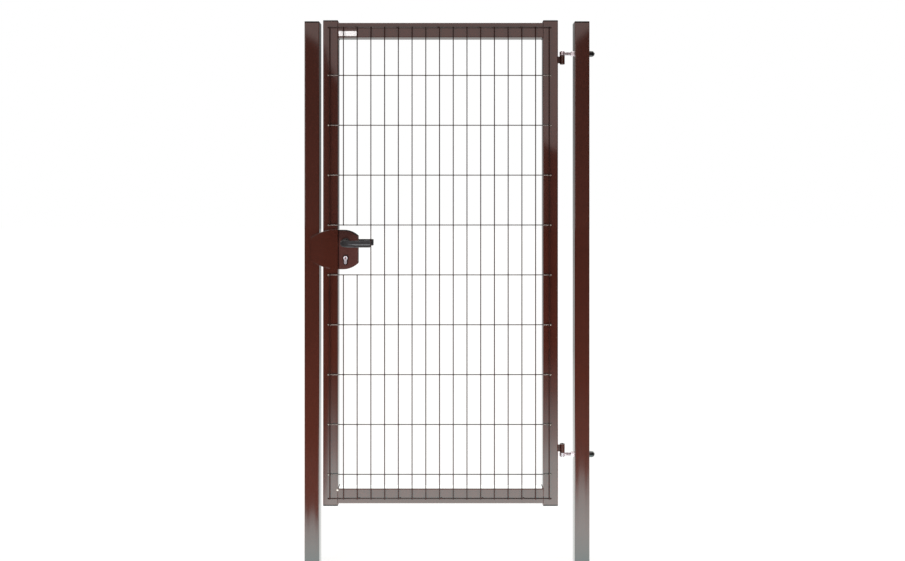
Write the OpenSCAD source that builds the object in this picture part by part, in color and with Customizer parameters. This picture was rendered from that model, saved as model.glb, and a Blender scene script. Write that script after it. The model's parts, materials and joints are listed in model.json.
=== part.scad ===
// Pedestrian gate: a welded mesh leaf with a lever lock, hung between two square posts.
// X runs across the opening from the lock post, at -X, to the hinge post. Z is up from the ground.
// Y runs through the gate: the leaf opens towards -Y, the side that carries the mesh.
// The origin is the centre of the hinge post's foot.

/* [Posts] */
// Width of each square post
post_w = 60; // [50:1:80]
// Wall of the post tube
post_wall = 2; // [1.5:0.5:4]
// Outside corner radius of the post tube
post_corner_r = 4; // [2.5:0.5:8]
// How far each post tube stops below the leaf's top
post_drop = 10; // [0:1:60]
// Clear width between the posts
opening_w = 1025; // [850:5:1250]

/* [Leaf frame] */
// Height of the leaf over its end caps
leaf_h = 1950; // [1500:10:2400]
// Height of the leaf's lowest point above the ground
leaf_lift = 250; // [50:5:350]
// Gap between the leaf and the hinge post
hinge_gap = 67; // [60:1:85]
// Gap between the leaf and the lock post
lock_gap = 15; // [10:1:24]
// Face width of the frame tube
frame_face = 60; // [50:1:72]
// Depth of the frame tube
frame_depth = 50; // [40:1:60]
// Wall of the frame tube
frame_wall = 2; // [1.5:0.5:3]
// Outside corner radius of the frame tube
frame_corner_r = 3.5; // [2.5:0.5:6]
// How far each stile tube runs on past the rails
stile_overrun = 5; // [2:1:20]
// How far the leaf's face and the plates on it stand in front of the posts
stop_gap = 0.5; // [0.3:0.1:3]

/* [Mesh] */
// Diameter of the welded wires
wire_d = 4; // [3:0.5:6]
// Spacing of the upright wires
cell_w = 55; // [40:1:75]
// Spacing of the level wires
cell_h = 200; // [120:5:250]
// Height of the first, shorter cell
first_cell_h = 98; // [60:1:150]
// Distance of the outer level wires from the rails' outer edges
row_edge = 20; // [10:1:40]
// Mean distance of the level wires' ends from the leaf's edges
row_end_inset = 22; // [12:1:40]
// Shift of the panel towards the lock side
mesh_shift = 4; // [0:1:8]
// How far the upright wires run past the outer level wires
wire_tail = 8; // [4:1:12]
// Least distance of an outer upright wire from the leaf's edge
column_edge = 26; // [22:1:50]

/* [Lock] */
// Index of the full cell that holds the lock, counted from the bottom
lock_cell = 4; // [2:1:5]
// Height of the lock's middle above the middle of its cell
lock_rise = 3; // [-5:1:8]
// Width of the lock case beside the stile
case_w = 79; // [70:1:95]
// Height of the lock case
case_h = 158; // [150:1:180]
// How far the case's middle sits below the stop plate's
case_sink = 2.5; // [0:0.5:4]
// Depth of the lock case
case_depth = 42; // [34:1:44]
// Sheet thickness of the lock case
case_wall = 2; // [1.5:0.5:3]
// Fall of the case's arched top to the middle of its outer corner
case_drop = 25.5; // [20:0.5:38]
// Level stretch of the case's top before the arch
case_flat = 20; // [14:1:26]
// Roundness of the case's outer edges
case_edge = 3; // [1:0.5:4]
// Overlap of the stop plate on the lock post
plate_overlap = 34; // [20:1:45]
// Height of the stop plate
plate_h = 161; // [150:1:184]
// Thickness of the stop plate
plate_t = 3; // [2:0.5:5]
// Bevel of the stop plate's front edge
plate_edge = 1; // [0.2:0.2:1.6]
// Fall of the stop plate's arched top to the middle of its outer corner
plate_drop = 38; // [24:0.5:50]
// Space kept free of wire round the lock
lock_clear = 4; // [2:1:10]
// Depth of the mechanism inside the case
mechanism_t = 16; // [12:1:24]
// Thickness of the latch bolt
latch_t = 12; // [8:1:14]
// Height of the latch bolt
latch_h = 20; // [14:1:26]
// Free space between the latch bolt and the lock post
latch_gap = 5; // [5:0.5:8]
// Length of the profile cylinder
cylinder_len = 54; // [50:1:70]
// Free space round the profile cylinder in the case
cylinder_gap = 1.8; // [0.5:0.1:2.5]

/* [Handle] */
// Distance of the handle's axis from the stile
handle_backset = 30; // [28:1:36]
// Height of the handle's axis above the lock's middle
handle_rise = 26; // [20:1:34]
// Distance from the handle's axis to the middle of the cylinder's round part
handle_to_cylinder = 62; // [55:1:72]
// Reach of the lever from its axis to its tip
lever_len = 104; // [85:1:125]
// Height of the lever's grip
grip_h = 26.5; // [22:0.5:30]
// Distance of the grip's middle below the handle's axis
grip_drop = 3.3; // [0:0.1:5]
// Distance from the case's face to the lever's outer face
lever_stand = 62; // [50:1:75]
// Diameter of the lever's hub
hub_d = 29; // [26:1:32]
// Diameter of the neck that turns in the rosette
neck_d = 21; // [18:1:23]
// Diameter of the rosette
rosette_d = 35; // [30:1:40]
// Thickness of the rosette
rosette_t = 6; // [4:0.5:9]
// Side of the square spindle
spindle_side = 8; // [6:1:10]

/* [Hinges] */
// Distance of the hinge axis from the hinge post
axis_gap = 46; // [40:1:60]
// Height of the upper eye bolt below the leaf's top
upper_drop = 130; // [80:5:400]
// Height of the lower eye bolt above the leaf's bottom
lower_rise = 200; // [80:5:400]
// Diameter of the eye bolts and the hinge pins
bolt_d = 12; // [10:1:16]
// Wall of the eye round its pin
eye_wall = 5; // [4:0.5:7]
// Wall of the hinge barrel round its pin
barrel_wall = 4; // [3:0.5:6]
// Length of the hinge barrel
barrel_len = 35; // [28:1:60]
// Height of the plate that joins the barrel to the stile
hinge_plate_h = 27; // [18:1:50]
// Thickness of that plate
hinge_plate_t = 6; // [4:1:10]
// Wall of the nuts at their flats
nut_wall = 3.5; // [3:0.5:5]
// Thickness of the nuts
nut_t = 10.8; // [8:0.1:16]
// Wall of the domed nut cover
dome_wall = 1.3; // [1:0.1:2]

/* [Hidden] */

$fn = 64;

// Paint, plastic and metal colours
paint = [0.27, 0.14, 0.11];
black_plastic = [0.08, 0.08, 0.09];
grey_plastic = [0.2, 0.2, 0.21];
zinc = [0.72, 0.71, 0.7];

// Clearances
bore_gap = 0.05;      // radial, round pins and bolts
seat_gap = 0.3;       // between a turning piece and what it turns on
neck_gap = 0.3;       // radial, handle neck in its rosette
slot_gap = 0.3;       // round the latch bolt in its slots
hole_gap = 0.5;       // radial, eye bolt in the post
cover_gap = 0.2;      // radial, nut's corners in the nut cover
spindle_gap = 1.5;    // radial, spindle's corners in the case
cut = 1;              // overrun of cutting shapes

// Posts
lock_post_x = -opening_w - post_w;
post_h = leaf_lift + leaf_h - post_drop;
post_face_x = -post_w / 2;
post_cap_t = 6;
cap_chamfer = 2;
cap_skirt_h = 18;
cap_skirt_wall = 2;

// Leaf
leaf_w = opening_w - hinge_gap - lock_gap;
leaf_right = post_face_x - hinge_gap;
leaf_left = leaf_right - leaf_w;
leaf_mid_x = (leaf_left + leaf_right) / 2;
leaf_front_y = -post_w / 2 - stop_gap;
leaf_mid_y = leaf_front_y + frame_depth / 2;
leaf_back_y = leaf_front_y + frame_depth;
frame_cap_t = 5;
stile_bottom = leaf_lift + frame_cap_t;
stile_top = leaf_lift + leaf_h - frame_cap_t;
rail_bottom = stile_bottom + stile_overrun;
rail_top = stile_top - stile_overrun;
rail_left = leaf_left + frame_face;
rail_len = leaf_w - 2 * frame_face;

// Mesh: level wires lie on the frame, upright wires lie on them and sink in a little at the welds
weld_sink = 0.1 * wire_d;
row_y = leaf_front_y - wire_d / 2;
column_y = row_y - wire_d + weld_sink;
first_row_z = rail_bottom + row_edge;
first_full_z = first_row_z + first_cell_h;
last_row_z = rail_top - row_edge;
full_cells = ceil((last_row_z - first_full_z) / cell_h) - 1;
row_zs = concat(
    [first_row_z],
    [for (i = [0 : full_cells]) first_full_z + i * cell_h],
    [last_row_z]
);
mesh_mid_x = leaf_mid_x - mesh_shift;
half_columns = floor((leaf_w / 2 - column_edge - mesh_shift / 2) / cell_w);
column_xs = [for (i = [-half_columns : half_columns]) mesh_mid_x + i * cell_w];
row_left = leaf_left + row_end_inset - mesh_shift;
row_right = leaf_right - row_end_inset - mesh_shift;

// Lock
lock_z = first_full_z + (lock_cell + 0.5) * cell_h + lock_rise;
case_left = rail_left;
case_right = case_left + case_w;
case_front_y = leaf_mid_y - case_depth / 2;
case_back_y = leaf_mid_y + case_depth / 2;
case_z = lock_z - case_sink;
case_corner_r = 4;
plate_left = leaf_left - lock_gap - plate_overlap;
plate_corner_r = 6;
mechanism_gap = 1.5;
mechanism_w = case_w - 26;
mechanism_h = case_h - 26;
window_bottom = lock_z - plate_h / 2 - lock_clear;
window_top = lock_z + plate_h / 2 + lock_clear;
window_right = case_right + lock_clear;
window_rows = [for (z = row_zs) if (z < window_bottom) z];
window_first = window_rows[len(window_rows) - 1];
window_last = [for (z = row_zs) if (z > window_top) z][0];
window_column = [for (x = column_xs) if (x > window_right) x][0];

// Latch
latch_z = lock_z + 16;
latch_tip_x = -opening_w + post_face_x + latch_gap;
latch_back_x = case_left + case_wall;
keep_gap = 3;

// Profile cylinder: a 17 mm round barrel above a 10 mm wide leg, 33 mm high in all
profile_round_d = 17;
profile_leg_w = 10;
profile_h = 33;
keyway_w = 1.6;
keyway_h = 8.5;
keyway_depth = 20;

// Handle
handle_x = case_left + handle_backset;
handle_z = lock_z + handle_rise;
cylinder_z = handle_z - handle_to_cylinder;
hub_t = 20;
lever_t = 14;
lever_tip_r = 2.5;
lever_chamfer = 4;
lever_blend = 16;
finger_scoop = 3;
finger_scoop_r = 320;
spindle_bite = 12;
spindle_hole_r = spindle_side / sqrt(2) + spindle_gap;

// Hinges
axis_x = post_face_x - axis_gap;
axis_y = 0;
upper_z = leaf_lift + leaf_h - upper_drop;
lower_z = leaf_lift + lower_rise;
eye_d = bolt_d + 2 * eye_wall;
eye_h = bolt_d + 2;
barrel_d = bolt_d + 2 * barrel_wall;
pin_head_d = bolt_d + 4;
pin_head_t = 4;
bolt_tail = 3;
dome_crown = 10.2;
nut_flats = bolt_d + 2 * nut_wall;
nut_corner_r = nut_flats / 2 / cos(30);
dome_cavity_r = nut_corner_r + cover_gap;
dome_d = 2 * (dome_cavity_r + dome_wall);
dome_cavity_len = nut_t + bolt_tail + 1;
dome_len = dome_cavity_len + dome_crown;

// Rectangle with rounded corners, centred
module rounded_rectangle(w, h, r) {
    square([w - 2 * r, h], center = true);
    square([w, h - 2 * r], center = true);
    for (x = [-1, 1], y = [-1, 1])
        translate([x * (w / 2 - r), y * (h / 2 - r)]) circle(r);
}

// Tube section, centred
module tube_section(w, h, wall, r) {
    difference() {
        rounded_rectangle(w, h, r);
        rounded_rectangle(w - 2 * wall, h - 2 * wall, max(r - wall, 0.5));
    }
}

// Plug for a tube's open end, its plate above z = 0 and its skirt in the tube
module tube_cap(w, h, wall, r, plate_t) {
    inner_r = max(r - wall, 0.5);
    intersection() {
        linear_extrude(plate_t) rounded_rectangle(w, h, r);
        rotate([90, 0, 0]) linear_extrude(h + cut, center = true) chamfered_side(w, plate_t);
        rotate([90, 0, 90]) linear_extrude(w + cut, center = true) chamfered_side(h, plate_t);
    }
    translate([0, 0, -cap_skirt_h]) linear_extrude(cap_skirt_h)
        tube_section(w - 2 * wall, h - 2 * wall, cap_skirt_wall, inner_r);
}

// Side view of a plate whose upper edges are chamfered
module chamfered_side(w, t) {
    polygon([
        [-w / 2, 0], [w / 2, 0], [w / 2, t - cap_chamfer],
        [w / 2 - cap_chamfer, t], [-w / 2 + cap_chamfer, t], [-w / 2, t - cap_chamfer]
    ]);
}

// Outline with a straight side at x = 0 and arched top and bottom, drawn in by inset all round.
// The arch starts level and meets the outer corner, whose middle lies drop below the top.
module arched_outline(length, half_h, flat, drop, corner_r, inset = 0) {
    reach = length - corner_r - flat;
    arc_r = (pow(drop, 2) - pow(corner_r, 2) + pow(reach, 2)) / (2 * (drop - corner_r));
    tip = length - inset;
    top = half_h - inset;
    big_r = arc_r - inset;
    small_r = corner_r - inset;
    arc_z = half_h - arc_r;
    corner_z = half_h - drop;
    tangent_x = flat + reach * big_r / (arc_r - corner_r);
    difference() {
        translate([inset, -top]) square([tip - inset, 2 * top]);
        for (side = [0, 1]) mirror([0, side]) {
            difference() {
                translate([flat, arc_z]) square([length, big_r + cut]);
                translate([flat, arc_z]) circle(big_r);
            }
            translate([tangent_x, corner_z]) square([length, half_h]);
        }
    }
    for (side = [0, 1]) mirror([0, side])
        translate([length - corner_r, corner_z]) circle(small_r);
}

// Extrudes a front-view outline through the gate, from y = from to y = to
module through(from, to) {
    translate([0, to, 0]) rotate([90, 0, 0]) linear_extrude(to - from) children();
}

// Outline of the profile cylinder, grown by gap, with the round part's centre at the origin
module cylinder_profile(gap = 0) {
    leg_drop = profile_h - profile_round_d / 2 - profile_leg_w / 2;
    circle(profile_round_d / 2 + gap);
    translate([-profile_leg_w / 2 - gap, -leg_drop]) square([profile_leg_w + 2 * gap, leg_drop]);
    translate([0, -leg_drop]) circle(profile_leg_w / 2 + gap);
}

// Post tube standing on the ground
module post_tube() {
    linear_extrude(post_h) tube_section(post_w, post_w, post_wall, post_corner_r);
}

// Upright tube of the leaf, in place apart from its X
module stile_tube() {
    translate([0, leaf_mid_y, stile_bottom])
        linear_extrude(stile_top - stile_bottom)
            tube_section(frame_face, frame_depth, frame_wall, frame_corner_r);
}

// Level tube of the leaf with its middle at height z
module rail_tube(z) {
    translate([rail_left, leaf_mid_y, z]) rotate([90, 0, 90])
        linear_extrude(rail_len) tube_section(frame_depth, frame_face, frame_wall, frame_corner_r);
}

// Cap on a stile's end: end = 1 at the top, -1 at the bottom
module stile_cap(x, end) {
    color(black_plastic)
        translate([x, leaf_mid_y, end > 0 ? stile_top : stile_bottom])
            mirror([0, 0, end > 0 ? 0 : 1])
                tube_cap(frame_face, frame_depth, frame_wall, frame_corner_r, frame_cap_t);
}

module post_cap(x) {
    color(black_plastic) translate([x, 0, post_h])
        tube_cap(post_w, post_w, post_wall, post_corner_r, post_cap_t);
}

// Slot that the latch bolt passes through, from x = from to x = to
module latch_slot(from, to, gap) {
    translate([from, leaf_mid_y - latch_t / 2 - gap, latch_z - latch_h / 2 - gap])
        cube([to - from, latch_t + 2 * gap, latch_h + 2 * gap]);
}

module hinge_post() {
    color(paint) difference() {
        post_tube();
        for (z = [lower_z, upper_z]) translate([0, axis_y, z]) rotate([0, 90, 0])
            cylinder(h = post_w + 2 * cut, r = bolt_d / 2 + hole_gap, center = true);
    }
}

module lock_post() {
    color(paint) difference() {
        translate([lock_post_x, 0, 0]) post_tube();
        latch_slot(lock_post_x, lock_post_x + post_w, keep_gap);
    }
}

module hinge_stile() {
    color(paint) translate([leaf_right - frame_face / 2, 0, 0]) stile_tube();
}

module lock_stile() {
    color(paint) difference() {
        translate([leaf_left + frame_face / 2, 0, 0]) stile_tube();
        latch_slot(leaf_left - cut, case_left + cut, slot_gap);
    }
}

module top_rail() {
    color(paint) rail_tube(rail_top - frame_face / 2);
}

module bottom_rail() {
    color(paint) rail_tube(rail_bottom + frame_face / 2);
}

// Straight wire of eight sides whose flats lie wire_d apart
module wire(length) {
    rotate([0, 0, 22.5]) cylinder(h = length, r = wire_d / 2 / cos(22.5), $fn = 8);
}

module level_wire(z) {
    left = z > window_first && z < window_last ? window_column : row_left;
    translate([left, row_y, z]) rotate([0, 90, 0]) wire(row_right - left);
}

module upright_wire(x, from, to) {
    translate([x, column_y, from]) wire(to - from);
}

module mesh_panel() {
    bottom = first_row_z - wire_tail;
    top = last_row_z + wire_tail;
    color(paint) {
        for (z = row_zs) level_wire(z);
        for (x = column_xs)
            if (x < window_right) {
                upright_wire(x, bottom, window_first + wire_d / 2);
                upright_wire(x, window_last - wire_d / 2, top);
            } else {
                upright_wire(x, bottom, top);
            }
    }
}

// Hinge parts are drawn with the eye above the barrel, and mirrored for the lower hinge
module at_hinge(z, flipped) {
    translate([axis_x, axis_y, z]) mirror([0, 0, flipped ? 1 : 0]) children();
}

module eye_bolt(z, flipped) {
    shank = axis_gap + post_w + nut_t + bolt_tail;
    color(zinc) at_hinge(z, flipped) difference() {
        union() {
            cylinder(h = eye_h, d = eye_d, center = true);
            rotate([0, 90, 0]) cylinder(h = shank, d = bolt_d);
        }
        cylinder(h = eye_h + 2 * cut, r = bolt_d / 2 + bore_gap, center = true);
    }
}

// Hexagon nut with chamfered corners, along +X from the origin
module hex_nut() {
    chamfer = (nut_corner_r - nut_flats / 2) * tan(30) + 0.4;
    rotate([0, 90, 0]) difference() {
        intersection() {
            cylinder(h = nut_t, r = nut_corner_r, $fn = 6);
            rotate_extrude() polygon([
                [0, 0], [nut_flats / 2 - 0.3, 0], [nut_corner_r, chamfer],
                [nut_corner_r, nut_t - chamfer], [nut_flats / 2 - 0.3, nut_t], [0, nut_t]
            ]);
        }
        translate([0, 0, -cut]) cylinder(h = nut_t + 2 * cut, r = bolt_d / 2 + bore_gap);
    }
}

module inner_nut(z) {
    color(zinc) translate([post_face_x - nut_t, axis_y, z]) hex_nut();
}

module outer_nut(z) {
    color(zinc) translate([post_w / 2, axis_y, z]) hex_nut();
}

// Domed cover pushed over the outer nut
module nut_cover(z) {
    color(black_plastic) translate([post_w / 2, axis_y, z]) rotate([0, 90, 0]) difference() {
        union() {
            cylinder(h = dome_len - dome_d / 2, d = dome_d);
            translate([0, 0, dome_len - dome_d / 2]) sphere(d = dome_d);
        }
        translate([0, 0, -dome_d]) cylinder(h = dome_d, d = dome_d + 2 * cut);
        translate([0, 0, -cut]) cylinder(h = nut_t + cut, r = dome_cavity_r);
        cylinder(h = dome_cavity_len, r = bolt_d / 2 + 1);
    }
}

module hinge_barrel(z, flipped) {
    top = -eye_h / 2 - seat_gap;
    middle = top - barrel_len / 2;
    reach = hinge_gap - axis_gap;
    color(paint) at_hinge(z, flipped) difference() {
        union() {
            translate([0, 0, middle]) cylinder(h = barrel_len, d = barrel_d, center = true);
            translate([-reach, -hinge_plate_t / 2, middle - hinge_plate_h / 2])
                cube([reach, hinge_plate_t, hinge_plate_h]);
        }
        translate([0, 0, top - barrel_len - cut])
            cylinder(h = barrel_len + 2 * cut, r = bolt_d / 2 + bore_gap);
    }
}

module hinge_pin(z, flipped) {
    head_z = eye_h / 2 + seat_gap;
    pin_len = eye_h + 2 * seat_gap + barrel_len - 2;
    color(zinc) at_hinge(z, flipped) {
        translate([0, 0, head_z - pin_len]) cylinder(h = pin_len, d = bolt_d);
        translate([0, 0, head_z]) rotate_extrude() polygon([
            [0, 0], [pin_head_d / 2, 0], [pin_head_d / 2, pin_head_t / 2],
            [pin_head_d / 2 - pin_head_t / 2, pin_head_t], [0, pin_head_t]
        ]);
    }
}

// Stop plate's body drawn in by inset, from y = from to y = to
module plate_slab(from, to, inset) {
    translate([case_left, 0, lock_z]) mirror([1, 0, 0]) through(from, to)
        arched_outline(case_left - plate_left, plate_h / 2, 0, plate_drop, plate_corner_r, inset, $fn = 180);
}

module lock_stop_plate() {
    plate_front_y = leaf_front_y - plate_t;
    color(paint) hull() {
        plate_slab(plate_front_y, leaf_front_y, plate_edge);
        plate_slab(plate_front_y + plate_edge, leaf_front_y, 0);
    }
}

// Lock case's body drawn in by inset, from y = from to y = to
module case_slab(from, to, inset) {
    translate([case_left, 0, case_z]) through(from, to)
        arched_outline(case_w, case_h / 2, case_flat, case_drop, case_corner_r, inset, $fn = 120);
}

module lock_case() {
    color(paint) difference() {
        hull() {
            case_slab(case_front_y, case_back_y, case_edge);
            case_slab(case_front_y + 0.3 * case_edge, case_back_y - 0.3 * case_edge, 0.3 * case_edge);
            case_slab(case_front_y + case_edge, case_back_y - case_edge, 0);
        }
        case_slab(case_front_y + case_wall, case_back_y - case_wall, case_wall);
        translate([handle_x, leaf_mid_y, handle_z]) rotate([90, 0, 0])
            cylinder(h = case_depth + 2 * cut, r = spindle_hole_r, center = true);
        translate([handle_x, 0, cylinder_z])
            through(case_front_y - cut, case_back_y + cut) cylinder_profile(cylinder_gap);
        latch_slot(case_left - cut, case_left + case_wall + cut, slot_gap);
    }
}

// Block in the case, whose corners keep clear of the arched walls
module lock_mechanism() {
    front = leaf_mid_y - mechanism_t / 2;
    back = leaf_mid_y + mechanism_t / 2;
    color("dimgray") difference() {
        translate([0, 0, case_z]) through(front, back) intersection() {
            translate([latch_back_x, -mechanism_h / 2]) square([mechanism_w, mechanism_h]);
            translate([case_left - mechanism_gap, 0])
                arched_outline(case_w, case_h / 2, case_flat, case_drop, case_corner_r, case_wall);
        }
        translate([handle_x, leaf_mid_y, handle_z]) rotate([90, 0, 0])
            cylinder(h = case_depth, r = spindle_hole_r, center = true);
        translate([handle_x, 0, cylinder_z])
            through(leaf_mid_y - mechanism_t, leaf_mid_y + mechanism_t) cylinder_profile(bore_gap);
    }
}

// Latch bolt whose nose slopes on the side that meets the post as the leaf closes
module latch_bolt() {
    half_t = latch_t / 2;
    length = latch_back_x - latch_tip_x;
    color(zinc) translate([latch_tip_x, leaf_mid_y, latch_z - latch_h / 2])
        linear_extrude(latch_h) polygon([
            [0, -half_t], [length, -half_t], [length, half_t], [0.8 * latch_t, half_t],
            [0, -half_t + 2]
        ]);
}

module lock_cylinder() {
    color("gainsboro") difference() {
        translate([handle_x, 0, cylinder_z])
            through(leaf_mid_y - cylinder_len / 2, leaf_mid_y + cylinder_len / 2) cylinder_profile();
        for (side = [-1, 1])
            translate([handle_x, leaf_mid_y + side * cylinder_len / 2, cylinder_z])
                cube([keyway_w, keyway_depth, keyway_h], center = true);
    }
}

// Pieces on the lock's front are drawn looking out along -Y from the case's face, and mirrored behind
module on_case(behind) {
    translate([handle_x, leaf_mid_y, handle_z]) mirror([0, behind ? 1 : 0, 0])
        translate([0, -case_depth / 2, 0]) rotate([90, 0, 0]) children();
}

// Round rosette on the case, in which the handle's neck turns
module rosette(behind) {
    bore_r = neck_d / 2 + neck_gap;
    color(grey_plastic) on_case(behind) rotate_extrude() polygon([
        [bore_r, 0], [rosette_d / 2, 0], [rosette_d / 2, rosette_t - 2],
        [rosette_d / 2 - 2, rosette_t], [bore_r, rosette_t]
    ]);
}

// Front view of the lever: a straight grip that hangs a little below the axis
module lever_outline() {
    tip = lever_len - lever_tip_r;
    top = grip_h / 2 - grip_drop;
    bottom = -grip_h / 2 - grip_drop;
    polygon([
        [0, -hub_d / 2], [lever_blend, bottom], [tip, bottom], [lever_len, bottom + lever_tip_r],
        [lever_len, top - lever_tip_r], [tip, top], [lever_blend, top], [0, hub_d / 2]
    ]);
    for (z = [bottom + lever_tip_r, top - lever_tip_r]) translate([tip, z]) circle(lever_tip_r);
}

// Section across the lever, with its outer face at z = lever_stand and its long edges chamfered
module lever_section() {
    low = -grip_h / 2 - grip_drop;
    high = max(grip_h / 2 - grip_drop, hub_d / 2);
    inner = lever_stand - lever_t;
    polygon([
        [low, inner + lever_chamfer], [low + lever_chamfer, inner],
        [high - lever_chamfer, inner], [high, inner + lever_chamfer],
        [high, lever_stand - lever_chamfer], [high - lever_chamfer, lever_stand],
        [low + lever_chamfer, lever_stand], [low, lever_stand - lever_chamfer]
    ]);
}

// Flat grip with a shallow scoop for the fingers behind it
module lever_grip() {
    scoop_z = lever_stand - lever_t + finger_scoop - finger_scoop_r;
    difference() {
        intersection() {
            linear_extrude(lever_stand) lever_outline();
            rotate([90, 0, 90]) linear_extrude(lever_len + cut) lever_section();
        }
        translate([lever_len * 0.6, 0, scoop_z]) rotate([90, 0, 0])
            cylinder(h = hub_d + 2 * cut, r = finger_scoop_r, center = true, $fn = 180);
    }
}

// Lever handle: a neck that turns in the rosette, a hub and the grip
module lever_handle(behind) {
    hub_z = lever_stand - hub_t;
    socket = spindle_side + 2 * bore_gap;
    color(grey_plastic) on_case(behind) difference() {
        union() {
            translate([0, 0, seat_gap]) cylinder(h = hub_z, d = neck_d);
            rotate_extrude() polygon([
                [0, hub_z - 3], [neck_d / 2, hub_z - 3], [hub_d / 2, hub_z + 1],
                [hub_d / 2, lever_stand - 3], [hub_d / 2 - 3, lever_stand], [0, lever_stand]
            ]);
            lever_grip();
        }
        translate([-socket / 2, -socket / 2, 0]) cube([socket, socket, hub_z + spindle_bite]);
    }
}

module handle_spindle() {
    length = case_depth + 2 * (lever_stand - hub_t + spindle_bite - 1);
    color(zinc) translate([handle_x, leaf_mid_y, handle_z])
        cube([spindle_side, length, spindle_side], center = true);
}

hinge_post();
lock_post();
post_cap(0);  // hinge_post_cap
post_cap(lock_post_x);  // lock_post_cap
eye_bolt(upper_z, false);  // upper_eye_bolt
eye_bolt(lower_z, true);  // lower_eye_bolt
inner_nut(upper_z);  // upper_inner_nut
inner_nut(lower_z);  // lower_inner_nut
outer_nut(upper_z);  // upper_outer_nut
outer_nut(lower_z);  // lower_outer_nut
nut_cover(upper_z);  // upper_nut_cover
nut_cover(lower_z);  // lower_nut_cover
hinge_stile();
lock_stile();
top_rail();
bottom_rail();
stile_cap(leaf_right - frame_face / 2, 1);  // hinge_stile_top_cap
stile_cap(leaf_right - frame_face / 2, -1);  // hinge_stile_bottom_cap
stile_cap(leaf_left + frame_face / 2, 1);  // lock_stile_top_cap
stile_cap(leaf_left + frame_face / 2, -1);  // lock_stile_bottom_cap
mesh_panel();
hinge_barrel(upper_z, false);  // upper_hinge_barrel
hinge_barrel(lower_z, true);  // lower_hinge_barrel
hinge_pin(upper_z, false);  // upper_hinge_pin
hinge_pin(lower_z, true);  // lower_hinge_pin
lock_stop_plate();
lock_case();
lock_mechanism();
latch_bolt();
lock_cylinder();
rosette(false);  // front_rosette
rosette(true);  // rear_rosette
lever_handle(false);  // front_handle
lever_handle(true);  // rear_handle
handle_spindle();
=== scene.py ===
"""Looks of the pedestrian gate: camera, light, paint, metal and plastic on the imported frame."""
import json
import math

import bmesh
import bpy
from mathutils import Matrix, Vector, noise


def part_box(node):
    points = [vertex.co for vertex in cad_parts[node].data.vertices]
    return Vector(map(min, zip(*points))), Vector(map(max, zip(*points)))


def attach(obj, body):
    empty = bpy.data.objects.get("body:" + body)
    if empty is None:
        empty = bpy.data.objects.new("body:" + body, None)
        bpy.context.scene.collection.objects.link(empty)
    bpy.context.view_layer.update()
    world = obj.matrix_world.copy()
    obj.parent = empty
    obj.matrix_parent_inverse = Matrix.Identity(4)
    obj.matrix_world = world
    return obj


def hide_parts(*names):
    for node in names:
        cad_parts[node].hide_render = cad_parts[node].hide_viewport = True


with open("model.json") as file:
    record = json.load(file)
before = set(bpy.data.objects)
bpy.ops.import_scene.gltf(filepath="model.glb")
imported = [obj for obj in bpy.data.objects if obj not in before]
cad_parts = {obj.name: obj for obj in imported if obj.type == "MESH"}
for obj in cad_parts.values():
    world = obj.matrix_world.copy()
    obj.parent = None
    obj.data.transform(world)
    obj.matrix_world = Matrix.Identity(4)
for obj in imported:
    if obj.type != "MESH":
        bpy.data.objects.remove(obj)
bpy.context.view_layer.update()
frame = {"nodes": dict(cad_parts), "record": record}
NODES = frame["nodes"]
SLOT = {p["node"]: p["material_slot"] for p in frame["record"]["subparts"]}
scene = bpy.context.scene
scene.view_settings.view_transform = "Standard"

# Corners of the nodes that the rest is placed by
MESH_LOW, MESH_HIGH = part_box("mesh_panel")
STILE_LOW, STILE_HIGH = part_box("lock_stile")
CASE_LOW, CASE_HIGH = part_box("lock_case")
CYL_LOW, CYL_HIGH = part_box("lock_cylinder")
LEVER_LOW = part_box("front_handle")[0]
HINGE_STILE_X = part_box("hinge_stile")[0].x
FRONT_Y, BACK_Y = STILE_LOW.y, STILE_HIGH.y
OPENING_MID = (STILE_HIGH.x + HINGE_STILE_X) / 2
OPENING_HALF = (HINGE_STILE_X - STILE_HIGH.x) / 2
X_AXIS, Z_AXIS = Vector((1, 0, 0)), Vector((0, 0, 1))


# ---------------------------------------------------------------- camera
# Level and square to the gate, with the lens shifted down
CAMERA_X, CAMERA_Z, CAMERA_DISTANCE = -0.5397, 1.4795, 3.462
CAMERA_AT = Vector((CAMERA_X, FRONT_Y - CAMERA_DISTANCE, CAMERA_Z))
camera = bpy.data.objects.new("camera", bpy.data.cameras.new("camera"))
scene.collection.objects.link(camera)
camera.location = CAMERA_AT
camera.rotation_euler = (math.radians(90), 0, 0)
camera.data.sensor_width = 36
camera.data.lens = 34.32
camera.data.shift_x = 0.0053
camera.data.shift_y = -0.0893
camera.data.clip_start = 0.05
camera.data.clip_end = 100
scene.camera = camera


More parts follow.
